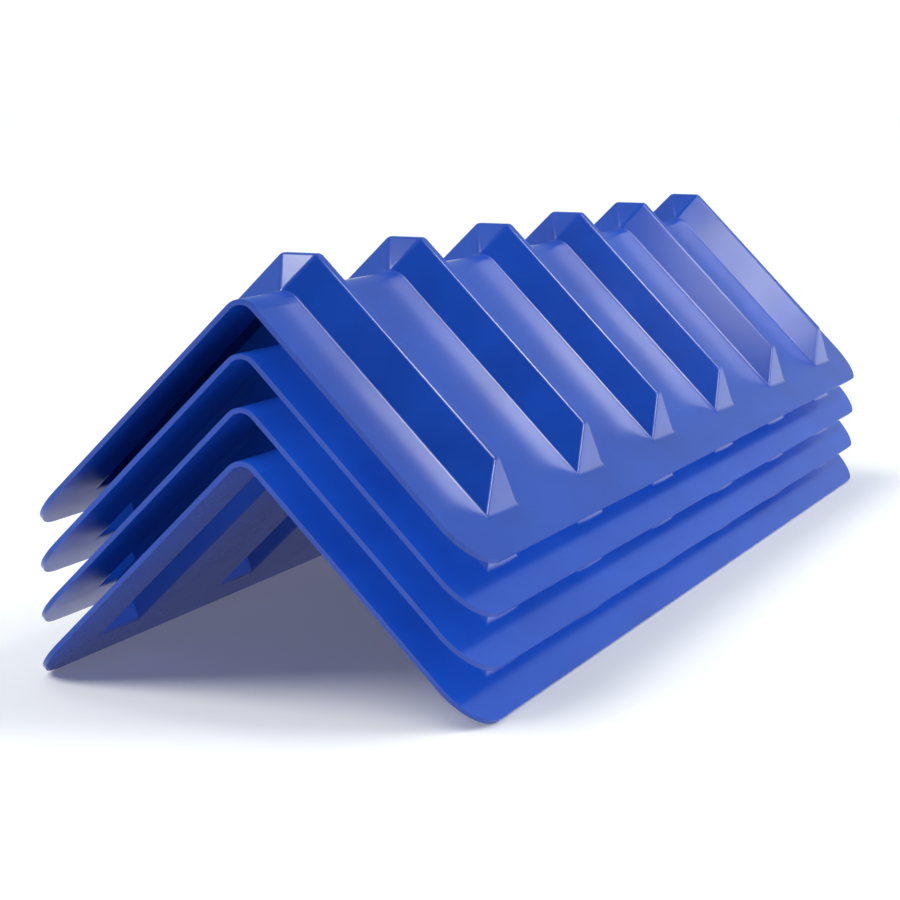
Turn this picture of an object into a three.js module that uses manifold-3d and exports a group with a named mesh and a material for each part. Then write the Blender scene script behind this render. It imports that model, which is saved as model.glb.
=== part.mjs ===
// A nested stack of four ribbed V-shaped edge protectors, in millimetres.
// +Y runs along the ridge, +X points to the right leg and +Z up.
// z = 0 is the surface that the lowest protector stands on.
import * as THREE from 'three';
import Module from 'manifold-3d';
import { ConvexGeometry } from 'three/addons/geometries/ConvexGeometry.js';
import { mergeVertices } from 'three/addons/utils/BufferGeometryUtils.js';

// The moulded sheet.
const LENGTH = 914.4;
const LEG_WIDTH = 203.2; // outer face, from the sharp corner of the two legs to the foot
const WALL = 3;
const RIDGE_RADIUS = 12; // outside of the bend between the legs
const CORNER_RADIUS = 33; // the four rounded corners at the feet

// The hollow ribs that cross the ridge and run down both legs.
const RIB_COUNT = 6;
const RIB_PITCH = 152.4;
const RIB_HEIGHT = 19; // square to the leg
const RIB_BASE_WIDTH = 48;
const RIB_TOP_WIDTH = 7;
const RIB_FOOT = 178.5; // along the leg, from the sharp corner to the rib's lower end
const RIB_END_DRAFT = THREE.MathUtils.degToRad(6.4); // lower end, away from vertical
const CROWN_WIDTH = 23; // flat top of the rib above the ridge

// The stack. At this pitch, 0.3 mm is left between the rib ends of two neighbours.
const STACK_PITCH = 30;
const STACK_NAMES = ['protector_bottom', 'protector_second', 'protector_third', 'protector_top'];

// How far one solid runs into or past another, so that no two faces coincide.
const SHEET_TRIM = 2;
const RIB_ROOT = WALL / 2;
const HOLLOW_REACH = WALL + 2;
const HALF_OVERLAP = 0.5;

const RIDGE_STEPS = 6;
const CORNER_STEPS = 8;

const COS_45 = Math.SQRT1_2;
const RIGHT_EDGE = Math.PI / 4;
const LEFT_EDGE = (3 * Math.PI) / 4;
const RIDGE_CENTRE = -RIDGE_RADIUS * Math.SQRT2;
const CROWN_LEVEL = RIB_HEIGHT * Math.SQRT2 - CROWN_WIDTH / 2;
const FOOT_DROP = (LEG_WIDTH + WALL) * COS_45;
const FLANK_RUN = (RIB_BASE_WIDTH - RIB_TOP_WIDTH) / 2 / RIB_HEIGHT;
const END_RUN = Math.tan(Math.PI / 4 + RIB_END_DRAFT);

const wasm = await Module();
wasm.setup();

function toSolid(geometry) {
  geometry.deleteAttribute('normal');
  geometry.deleteAttribute('uv');
  const merged = mergeVertices(geometry, 1e-4);
  const mesh = new wasm.Mesh({
    numProp: 3,
    vertProperties: new Float32Array(merged.attributes.position.array),
    triVerts: new Uint32Array(merged.index.array),
  });
  return new wasm.Manifold(mesh);
}

function toGeometry(solid) {
  const mesh = solid.getMesh();
  const geometry = new THREE.BufferGeometry();
  geometry.setAttribute('position', new THREE.BufferAttribute(mesh.vertProperties, 3));
  geometry.setIndex(new THREE.BufferAttribute(mesh.triVerts, 1));
  geometry.computeVertexNormals();
  return geometry;
}

// A point of the right leg in the plane across the ridge. The sharp corner is (0, 0).
function legPoint(along, height) {
  return new THREE.Vector2((along + height) * COS_45, (height - along) * COS_45);
}

function mirrored(point) {
  return new THREE.Vector2(-point.x, point.y);
}

function ridgePoint(radius, angle) {
  return new THREE.Vector2(radius * Math.sin(angle), RIDGE_CENTRE + radius * Math.cos(angle));
}

// The bent sheet before its feet are cut: two legs at a right angle and a rounded ridge.
function bentSheet() {
  const footOuter = legPoint(LEG_WIDTH + SHEET_TRIM, 0);
  const footInner = legPoint(LEG_WIDTH + SHEET_TRIM, -WALL);
  const footOuterLeft = mirrored(footOuter);
  const footInnerLeft = mirrored(footInner);
  const profile = new THREE.Shape();
  profile.moveTo(footInner.x, footInner.y);
  profile.lineTo(footOuter.x, footOuter.y);
  profile.absarc(0, RIDGE_CENTRE, RIDGE_RADIUS, RIGHT_EDGE, LEFT_EDGE, false);
  profile.lineTo(footOuterLeft.x, footOuterLeft.y);
  profile.lineTo(footInnerLeft.x, footInnerLeft.y);
  profile.absarc(0, RIDGE_CENTRE, RIDGE_RADIUS - WALL, LEFT_EDGE, RIGHT_EDGE, true);
  profile.closePath();
  const depth = LENGTH + 2 * SHEET_TRIM;
  const geometry = new THREE.ExtrudeGeometry(profile, {
    depth,
    bevelEnabled: false,
    curveSegments: RIDGE_STEPS,
  });
  geometry.translate(0, 0, -depth / 2);
  geometry.rotateX(Math.PI / 2);
  return toSolid(geometry);
}

// A block with the outline of one leg seen square on, with rounded corners at the foot.
function legOutline(turn) {
  const inside = -LEG_WIDTH / 4;
  const end = LENGTH / 2;
  const cornerAlong = LEG_WIDTH - CORNER_RADIUS;
  const cornerEnd = end - CORNER_RADIUS;
  const outline = new THREE.Shape();
  outline.moveTo(inside, end);
  outline.lineTo(inside, -end);
  outline.absarc(cornerAlong, -cornerEnd, CORNER_RADIUS, -Math.PI / 2, 0, false);
  outline.absarc(cornerAlong, cornerEnd, CORNER_RADIUS, 0, Math.PI / 2, false);
  outline.closePath();
  const depth = LEG_WIDTH / 2;
  const geometry = new THREE.ExtrudeGeometry(outline, {
    depth,
    bevelEnabled: false,
    curveSegments: CORNER_STEPS,
  });
  geometry.translate(0, 0, -depth / 2);
  geometry.rotateY(Math.PI / 4);
  geometry.rotateZ(turn);
  return toSolid(geometry);
}

// Half of a rib, on one side of the ridge: the hull of a narrow top and a wide base.
// The inset moves every face inwards; reach is how far the base lies below the leg.
function ribHalf(side, centre, inset, reach) {
  const topHeight = RIB_HEIGHT - inset;
  const halfWidth = (height) =>
    RIB_TOP_WIDTH / 2 + FLANK_RUN * (RIB_HEIGHT - height) - inset * Math.hypot(1, FLANK_RUN);
  const endAlong = (height) => RIB_FOOT - END_RUN * height - inset * Math.hypot(1, END_RUN);
  const crownLevel = CROWN_LEVEL - inset;
  const ridgeRadius = RIDGE_RADIUS - reach;
  const top = [
    new THREE.Vector2(-HALF_OVERLAP, crownLevel),
    new THREE.Vector2(topHeight * Math.SQRT2 - crownLevel, crownLevel),
    legPoint(endAlong(topHeight), topHeight),
  ];
  const base = [
    new THREE.Vector2(-HALF_OVERLAP, RIDGE_CENTRE + ridgeRadius),
    legPoint(endAlong(-reach), -reach),
  ];
  const steps = RIDGE_STEPS / 2;
  for (let step = 0; step <= steps; step += 1) {
    base.push(ridgePoint(ridgeRadius, (RIGHT_EDGE * step) / steps));
  }
  const points = [];
  for (const [outline, width] of [[top, halfWidth(topHeight)], [base, halfWidth(-reach)]]) {
    for (const point of outline) {
      points.push(new THREE.Vector3(side * point.x, centre - width, point.y));
      points.push(new THREE.Vector3(side * point.x, centre + width, point.y));
    }
  }
  return toSolid(new ConvexGeometry(points));
}

function rib(centre, inset, reach) {
  return ribHalf(1, centre, inset, reach).add(ribHalf(-1, centre, inset, reach));
}

function protector() {
  const outline = legOutline(0).add(legOutline(Math.PI));
  let solid = bentSheet().intersect(outline);
  const centres = [];
  for (let index = 0; index < RIB_COUNT; index += 1) {
    centres.push((index - (RIB_COUNT - 1) / 2) * RIB_PITCH);
  }
  for (const centre of centres) {
    solid = solid.add(rib(centre, 0, RIB_ROOT));
  }
  for (const centre of centres) {
    solid = solid.subtract(rib(centre, WALL, HOLLOW_REACH));
  }
  return toGeometry(solid);
}

const stack = new THREE.Group();
const protectorGeometry = protector();
STACK_NAMES.forEach((name, level) => {
  const material = new THREE.MeshStandardMaterial({ color: 0x2a44b8, roughness: 0.3, metalness: 0 });
  const mesh = new THREE.Mesh(protectorGeometry, material);
  mesh.name = name;
  mesh.position.z = FOOT_DROP + level * STACK_PITCH;
  stack.add(mesh);
});

export default stack;
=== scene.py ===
"""A nested stack of ribbed, V-shaped edge protectors, moulded in glossy blue polyethylene."""
import math

import bmesh
import bpy
from mathutils import Matrix, Vector


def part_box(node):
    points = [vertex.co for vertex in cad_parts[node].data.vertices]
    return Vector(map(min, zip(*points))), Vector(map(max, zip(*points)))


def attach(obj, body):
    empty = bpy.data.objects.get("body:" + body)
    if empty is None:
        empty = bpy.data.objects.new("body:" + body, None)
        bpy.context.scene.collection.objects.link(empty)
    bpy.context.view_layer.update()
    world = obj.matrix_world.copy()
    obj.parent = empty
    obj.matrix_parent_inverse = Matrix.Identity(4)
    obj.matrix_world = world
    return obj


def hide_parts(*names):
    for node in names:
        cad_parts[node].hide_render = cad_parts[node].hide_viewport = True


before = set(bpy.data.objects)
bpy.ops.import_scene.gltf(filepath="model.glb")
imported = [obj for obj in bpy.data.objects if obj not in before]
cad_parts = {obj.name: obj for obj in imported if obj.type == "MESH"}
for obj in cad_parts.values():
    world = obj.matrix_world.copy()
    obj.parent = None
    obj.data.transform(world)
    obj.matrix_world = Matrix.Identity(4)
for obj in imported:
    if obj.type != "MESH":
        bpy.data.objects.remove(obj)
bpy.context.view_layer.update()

MM = 0.001
ROOT_HALF = math.sqrt(0.5)
PROTECTORS = {"protector_bottom": "bottom", "protector_second": "second",
              "protector_third": "third", "protector_top": "top"}

# The moulding. The frame gives its width, its length and where its feet stand.
BOTTOM_LOW, BOTTOM_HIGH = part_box("protector_bottom")
LENGTH = BOTTOM_HIGH.y - BOTTOM_LOW.y
LEG_WIDTH = BOTTOM_HIGH.x / ROOT_HALF
WALL = 3 * MM
RIDGE_RADIUS = 12 * MM
CORNER_RADIUS = 33 * MM
RIB_COUNT = 6
RIB_PITCH = LENGTH / RIB_COUNT
RIB_HEIGHT = 19 * MM
RIB_BASE_WIDTH = 48 * MM
RIB_TOP_WIDTH = 7 * MM
RIB_FOOT = 178.5 * MM
RIB_END_DRAFT = math.radians(6.4)
CROWN_WIDTH = 23 * MM

# Moulded edges: every rib edge has a small round, and the rim a smaller one.
RIB_ROUND = 1.6 * MM
RIB_ROUND_STEPS = 4
RIB_EDGE_ANGLE = math.radians(20)
RIM_ROUND = 0.7 * MM
RIM_ROUND_STEPS = 3
RIM_EDGE_ANGLE = math.radians(60)
RIDGE_STEPS = 8
RIDGE_BLEND = 3 * MM
CORNER_STEPS = 16

RIDGE_ARC = RIDGE_RADIUS * math.pi / 4
RIDGE_CENTRE = -RIDGE_RADIUS / ROOT_HALF
CROWN_LEVEL = RIB_HEIGHT / ROOT_HALF - CROWN_WIDTH / 2
FOOT_DROP = (LEG_WIDTH + WALL) * ROOT_HALF
FLANK_RUN = (RIB_BASE_WIDTH - RIB_TOP_WIDTH) / 2
RIB_TOP_END = RIB_FOOT - RIB_HEIGHT * math.tan(math.pi / 4 + RIB_END_DRAFT)
RIB_CENTRES = [(i - (RIB_COUNT - 1) / 2) * RIB_PITCH for i in range(RIB_COUNT)]
TOUCH = 0.01 * MM

# Sizes of the marks in the finish: colour streaks, gloss patches, waves and grain.
STREAK_SIZE = 45 * MM
GLOSS_PATCH_SIZE = 30 * MM
WAVE_SIZE = 70 * MM
WAVE_DEPTH = 0.25 * MM
GRAIN_SIZE = 0.8 * MM
GRAIN_DEPTH = 0.02 * MM

# The studio: the floor reaches far past the stack, and the camera stands front right.
FLOOR_REACH = 20
CAMERA_PLACE = Vector((0.594, -1.599, 0.3545))
CAMERA_AIM = Vector((0.0312, -0.2291, 0.1161))
CAMERA_ROLL = math.radians(0.48)
CAMERA_LENS = 93.9


# ---------------------------------------------------------------- the moulding

def along_flat(along):
    """Where a line of the leg lies on the sheet before it is bent, measured from the ridge."""
    return along - RIDGE_RADIUS + RIDGE_ARC


def cut_lines():
    """Lines across the flat sheet, where a rib starts, ends or turns over the ridge."""
    half = [RIDGE_ARC * (step + 1) / (RIDGE_STEPS / 2) for step in range(RIDGE_STEPS // 2)]
    half += [RIDGE_ARC + RIDGE_BLEND, along_flat(RIB_TOP_END), along_flat(RIB_FOOT)]
    return [-line for line in half] + [0.0] + half


def rib_lines():
    """Lines along which each rib's flanks meet the sheet and its top."""
    offsets = (-RIB_BASE_WIDTH / 2, -RIB_TOP_WIDTH / 2, RIB_TOP_WIDTH / 2, RIB_BASE_WIDTH / 2)
    return [centre + offset for centre in RIB_CENTRES for offset in offsets]


def cut(bm, line, direction):
    everything = bm.verts[:] + bm.edges[:] + bm.faces[:]
    bmesh.ops.bisect_plane(bm, geom=everything, dist=TOUCH,
                           plane_co=direction * line, plane_no=direction)


def flat_sheet():
    """The sheet laid flat with round corners, cut wherever it will bend."""
    bm = bmesh.new()
    bmesh.ops.create_grid(bm, x_segments=1, y_segments=1, size=1)
    size = Vector((along_flat(LEG_WIDTH), LENGTH / 2, 1))
    bmesh.ops.scale(bm, vec=size, verts=bm.verts)
    bmesh.ops.bevel(bm, geom=bm.verts[:], offset=CORNER_RADIUS, offset_type="OFFSET",
                    segments=CORNER_STEPS, profile=0.5, affect="VERTICES", material=-1)
    for line in cut_lines():
        cut(bm, line, Vector((1, 0, 0)))
    for line in rib_lines():
        cut(bm, line, Vector((0, 1, 0)))
    return bm


def near(value, target):
    return abs(value - target) < TOUCH * 10


def vert_at(bm, x, y):
    return next(v for v in bm.verts if near(v.co.x, x) and near(v.co.y, y))


def cut_rib_hips(bm):
    """The sloping edges at a rib's ends, from the corner of its base to the corner of its top."""
    for centre in RIB_CENTRES:
        for side in (-1, 1):
            for end in (-1, 1):
                base = vert_at(bm, end * along_flat(RIB_FOOT), centre + side * RIB_BASE_WIDTH / 2)
                top = vert_at(bm, end * along_flat(RIB_TOP_END), centre + side * RIB_TOP_WIDTH / 2)
                bmesh.ops.connect_verts(bm, verts=[base, top])


def cut_crown_facets(bm):
    """Each flank turns the ridge on a three-cornered facet, which hangs from the flat crown."""
    first_step = RIDGE_ARC / (RIDGE_STEPS / 2)
    for centre in RIB_CENTRES:
        for side in (-1, 1):
            foot = vert_at(bm, 0, centre + side * RIB_BASE_WIDTH / 2)
            for end in (-1, 1):
                corner = vert_at(bm, end * first_step, centre + side * RIB_TOP_WIDTH / 2)
                bmesh.ops.connect_verts(bm, verts=[foot, corner])


def on_leg(side, along, height, y):
    return Vector((side * (along + height) * ROOT_HALF, y, (height - along) * ROOT_HALF))


def folded(place):
    """A point of the flat sheet, bent over the ridge and raised if it is on a rib's top."""
    side = math.copysign(1, place.x)
    reach = abs(place.x)
    offset = min((place.y - centre for centre in RIB_CENTRES), key=abs)
    on_top = abs(offset) < RIB_TOP_WIDTH / 2 + TOUCH and reach < along_flat(RIB_TOP_END) + TOUCH
    if reach > RIDGE_ARC + TOUCH:
        return on_leg(side, reach - RIDGE_ARC + RIDGE_RADIUS, RIB_HEIGHT if on_top else 0, place.y)
    if on_top:
        return Vector((side * CROWN_WIDTH / 2 if reach > TOUCH else 0, place.y, CROWN_LEVEL))
    angle = reach / RIDGE_RADIUS
    y = place.y
    if near(abs(offset), RIB_BASE_WIDTH / 2):
        # The flank runs on down past the leg's own plane to reach the rounded ridge.
        drop = RIDGE_RADIUS * (1 - math.cos(math.pi / 4 - angle))
        y += math.copysign(drop * FLANK_RUN / RIB_HEIGHT, offset)
    return Vector((side * RIDGE_RADIUS * math.sin(angle), y,
                   RIDGE_CENTRE + RIDGE_RADIUS * math.cos(angle)))


def shade_ridge(bm):
    """The bend is smooth from leg to leg between the ribs; every other face is flat."""
    for face in bm.faces:
        middle = face.calc_center_median()
        off_rib = min(abs(middle.y - centre) for centre in RIB_CENTRES) > RIB_BASE_WIDTH / 2
        face.smooth = off_rib and abs(middle.x) < RIDGE_ARC + RIDGE_BLEND


def round_rib_edges(bm):
    """Small rounds on every edge of the ribs; the ridge is already round."""
    sharp = [edge for edge in bm.edges
             if len(edge.link_faces) == 2 and edge.calc_face_angle(0) > RIB_EDGE_ANGLE]
    made = bmesh.ops.bevel(bm, geom=sharp, offset=RIB_ROUND, offset_type="OFFSET",
                           segments=RIB_ROUND_STEPS, profile=0.5, affect="EDGES",
                           clamp_overlap=True, material=-1)
    for face in made["faces"]:
        face.smooth = True


def moulding_mesh(name, corner_level):
    bm = flat_sheet()
    cut_rib_hips(bm)
    cut_crown_facets(bm)
    shade_ridge(bm)
    for vert in bm.verts:
        vert.co = folded(vert.co)
    bmesh.ops.remove_doubles(bm, verts=bm.verts, dist=TOUCH)
    round_rib_edges(bm)
    bmesh.ops.remove_doubles(bm, verts=bm.verts, dist=TOUCH)
    bmesh.ops.recalc_face_normals(bm, faces=bm.faces)
    if sum(face.normal.z * face.calc_area() for face in bm.faces) < 0:
        bmesh.ops.reverse_faces(bm, faces=bm.faces)
    bmesh.ops.translate(bm, vec=Vector((0, 0, corner_level)), verts=bm.verts)
    mesh = bpy.data.meshes.new(name)
    bm.to_mesh(mesh)
    bm.free()
    return mesh


def protector(node, body):
    """One moulding in place of its CAD node: a skin with a wall's thickness and a round rim."""
    low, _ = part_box(node)
    name = node + "_moulding"
    piece = bpy.data.objects.new(name, moulding_mesh(name, low.z + FOOT_DROP))
    bpy.context.scene.collection.objects.link(piece)
    wall = piece.modifiers.new("wall", "SOLIDIFY")
    wall.thickness = WALL
    wall.offset = -1
    wall.use_even_offset = True
    rim = piece.modifiers.new("rim", "BEVEL")
    rim.width = RIM_ROUND
    rim.segments = RIM_ROUND_STEPS
    rim.limit_method = "ANGLE"
    rim.angle_limit = RIM_EDGE_ANGLE
    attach(piece, body)
    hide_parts(node)
    return piece


# ---------------------------------------------------------------- finishes

def linear(hex_colour):
    """An sRGB hex colour as linear red, green, blue and alpha."""
    parts = [int(hex_colour[i:i + 2], 16) / 255 for i in (1, 3, 5)]
    return [p / 12.92 if p <= 0.04045 else ((p + 0.055) / 1.055) ** 2.4 for p in parts] + [1]


def add_node(tree, kind, settings=None, **links):
    """Adds a node. Settings are its properties or input values; links feed its inputs."""
    node = tree.nodes.new(kind)
    for key, value in (settings or {}).items():
        if key in node.inputs:
            node.inputs[key].default_value = value
        else:
            setattr(node, key, value)
    for key, source in links.items():
        tree.links.new(source, node.inputs[key.replace("_", " ")])
    return node


def moulded_polyethylene():
    """Injection-moulded high-density polyethylene, deep blue and polished by the mould.
    It gives the eye a smooth gloss that is never quite flat: slow waves from shrinkage,
    a fine grain that softens reflections, and faint streaks where the colour flowed."""
    material = bpy.data.materials.new("moulded_blue_polyethylene")
    material.use_nodes = True
    tree = material.node_tree
    shader = tree.nodes["Principled BSDF"]
    shader.inputs["IOR"].default_value = 1.51
    shader.inputs["Metallic"].default_value = 0

    place = add_node(tree, "ShaderNodeTexCoord")
    # Colour streaks, drawn out along the length of the flow.
    flow = add_node(tree, "ShaderNodeMapping", {"Scale": (1, 0.35, 1)},
                    Vector=place.outputs["Object"])
    streaks = add_node(tree, "ShaderNodeTexNoise",
                       {"Scale": 1 / STREAK_SIZE, "Detail": 4, "Roughness": 0.55},
                       Vector=flow.outputs["Vector"])
    colour = add_node(tree, "ShaderNodeValToRGB", Fac=streaks.outputs["Fac"])
    colour.color_ramp.elements[0].position = 0.3
    colour.color_ramp.elements[0].color = linear("#113FA2")
    colour.color_ramp.elements[1].position = 0.7
    colour.color_ramp.elements[1].color = linear("#1449B2")
    tree.links.new(colour.outputs["Color"], shader.inputs["Base Color"])

    # Real grain is near 0.1 mm; this one is drawn coarse enough to show.
    grain = add_node(tree, "ShaderNodeTexNoise", {"Scale": 1 / GRAIN_SIZE, "Detail": 2},
                     Vector=place.outputs["Object"])
    gloss_noise = add_node(tree, "ShaderNodeTexNoise",
                           {"Scale": 1 / GLOSS_PATCH_SIZE, "Detail": 2},
                           Vector=place.outputs["Object"])
    gloss = add_node(tree, "ShaderNodeMapRange", {"To Min": 0.17, "To Max": 0.27},
                     Value=gloss_noise.outputs["Fac"])
    tree.links.new(gloss.outputs["Result"], shader.inputs["Roughness"])

    waves = add_node(tree, "ShaderNodeTexNoise", {"Scale": 1 / WAVE_SIZE, "Detail": 1},
                     Vector=place.outputs["Object"])
    shrink = add_node(tree, "ShaderNodeBump", {"Strength": 1, "Distance": WAVE_DEPTH},
                      Height=waves.outputs["Fac"])
    skin = add_node(tree, "ShaderNodeBump", {"Strength": 0.12, "Distance": GRAIN_DEPTH},
                    Height=grain.outputs["Fac"], Normal=shrink.outputs["Normal"])
    tree.links.new(skin.outputs["Normal"], shader.inputs["Normal"])
    return material


def studio_floor():
    """Translucent white acrylic, lit a little from below so that shadows stay light."""
    material = bpy.data.materials.new("backlit_white_acrylic")
    material.use_nodes = True
    shader = material.node_tree.nodes["Principled BSDF"]
    shader.inputs["Base Color"].default_value = linear("#F8F8F8")
    shader.inputs["Roughness"].default_value = 0.9
    shader.inputs["Emission Color"].default_value = linear("#FFFFFF")
    shader.inputs["Emission Strength"].default_value = 0.1
    return material


# ---------------------------------------------------------------- the studio

def floor(material):
    bm = bmesh.new()
    bmesh.ops.create_grid(bm, x_segments=1, y_segments=1, size=FLOOR_REACH)
    mesh = bpy.data.meshes.new("floor")
    bm.to_mesh(mesh)
    bm.free()
    sheet = bpy.data.objects.new("floor", mesh)
    mesh.materials.append(material)
    bpy.context.scene.collection.objects.link(sheet)
    return sheet


def softbox(name, place, target, size, power):
    """A rectangular diffuser at a place, turned to face a target."""
    data = bpy.data.lights.new(name, "AREA")
    data.shape = "RECTANGLE"
    data.size, data.size_y = size
    data.energy = power
    light = bpy.data.objects.new(name, data)
    light.location = place
    light.rotation_euler = (Vector(target) - Vector(place)).to_track_quat("-Z", "Y").to_euler()
    bpy.context.scene.collection.objects.link(light)


def far_diffuser(name, towards, width, power):
    """A round diffuser so far off that it lights the whole stack evenly."""
    data = bpy.data.lights.new(name, "SUN")
    data.angle = math.radians(width)
    data.energy = power
    light = bpy.data.objects.new(name, data)
    light.rotation_euler = Vector(towards).to_track_quat("Z", "Y").to_euler()
    bpy.context.scene.collection.objects.link(light)
    return light


def keep_light_on(light, name, pieces):
    """Lets a light reach these pieces only."""
    group = bpy.data.collections.new(name)
    for piece in pieces:
        group.objects.link(piece)
    light.light_linking.receiver_collection = group


def white_room():
    """White walls all round up to the height of the stack, softer above, darkest in front."""
    world = bpy.data.worlds.new("white_room")
    world.use_nodes = True
    tree = world.node_tree
    background = tree.nodes["Background"]
    place = add_node(tree, "ShaderNodeTexCoord")
    axes = add_node(tree, "ShaderNodeSeparateXYZ", Vector=place.outputs["Generated"])
    above = add_node(tree, "ShaderNodeMapRange", {"From Min": 0.06, "From Max": 0.2},
                     Value=axes.outputs["Z"])
    tint = add_node(tree, "ShaderNodeValToRGB", Fac=above.outputs["Result"])
    tint.color_ramp.elements[0].color = linear("#FFFFFF")
    tint.color_ramp.elements[1].color = linear("#9AA8B8")
    front = add_node(tree, "ShaderNodeMapRange",
                     {"From Min": -0.25, "From Max": 0.15, "To Min": 0.12, "To Max": 1.05},
                     Value=axes.outputs["Y"])
    glow = add_node(tree, "ShaderNodeMapRange", {"To Min": 1.05}, Value=above.outputs["Result"],
                    To_Max=front.outputs["Result"])
    tree.links.new(tint.outputs["Color"], background.inputs["Color"])
    tree.links.new(glow.outputs["Result"], background.inputs["Strength"])
    bpy.context.scene.world = world


def camera():
    """A long lens from the front right, a little above the ridge."""
    data = bpy.data.cameras.new("camera")
    data.sensor_width = 36
    data.lens = CAMERA_LENS
    data.clip_end = 100
    eye = bpy.data.objects.new("camera", data)
    turn = (CAMERA_AIM - CAMERA_PLACE).to_track_quat("-Z", "Y").to_matrix().to_4x4()
    roll = Matrix.Rotation(CAMERA_ROLL, 4, "Z")
    eye.matrix_world = Matrix.Translation(CAMERA_PLACE) @ turn @ roll
    bpy.context.scene.collection.objects.link(eye)
    bpy.context.scene.camera = eye


def lights(mouldings, sheet):
    """Daylight-white diffusers. The lower mouldings sit in the top one's shade, so they get
    a fill of their own that reaches into the gaps, in place of the glints on the top one."""
    *lower, top = mouldings
    far_diffuser("key_left_front", (-0.5, -0.35, 0.79), 45, 2.1)
    rib_top = far_diffuser("rib_top_glint", (0.51, 0.4, 0.756), 16, 0.5)
    rib_end = far_diffuser("rib_end_glint", (0.86, 0.35, 0.37), 20, 1.05)
    keep_light_on(rib_top, "rib_top_glint_on", [top, sheet])
    keep_light_on(rib_end, "rib_end_glint_on", [top, sheet])
    softbox("last_rib_gloss", (0.68, 0.3, 0.95), (0.06, 0.38, 0.18), (0.5, 0.19), 2.9)
    softbox("first_crown_gloss", (-0.24, -0.32, 0.8), (0, -0.385, 0.25), (0.1, 0.16), 0.55)
    fill = far_diffuser("gap_fill", (0.7, -0.1, 0.7), 60, 2.5)
    fill.data.use_shadow = False
    keep_light_on(fill, "gap_fill_on", lower)


def main():
    plastic = moulded_polyethylene()
    mouldings = [protector(node, body) for node, body in PROTECTORS.items()]
    for piece in mouldings:
        piece.data.materials.append(plastic)
    white_room()
    lights(mouldings, floor(studio_floor()))
    camera()
    bpy.context.scene.view_settings.view_transform = "Standard"


main()
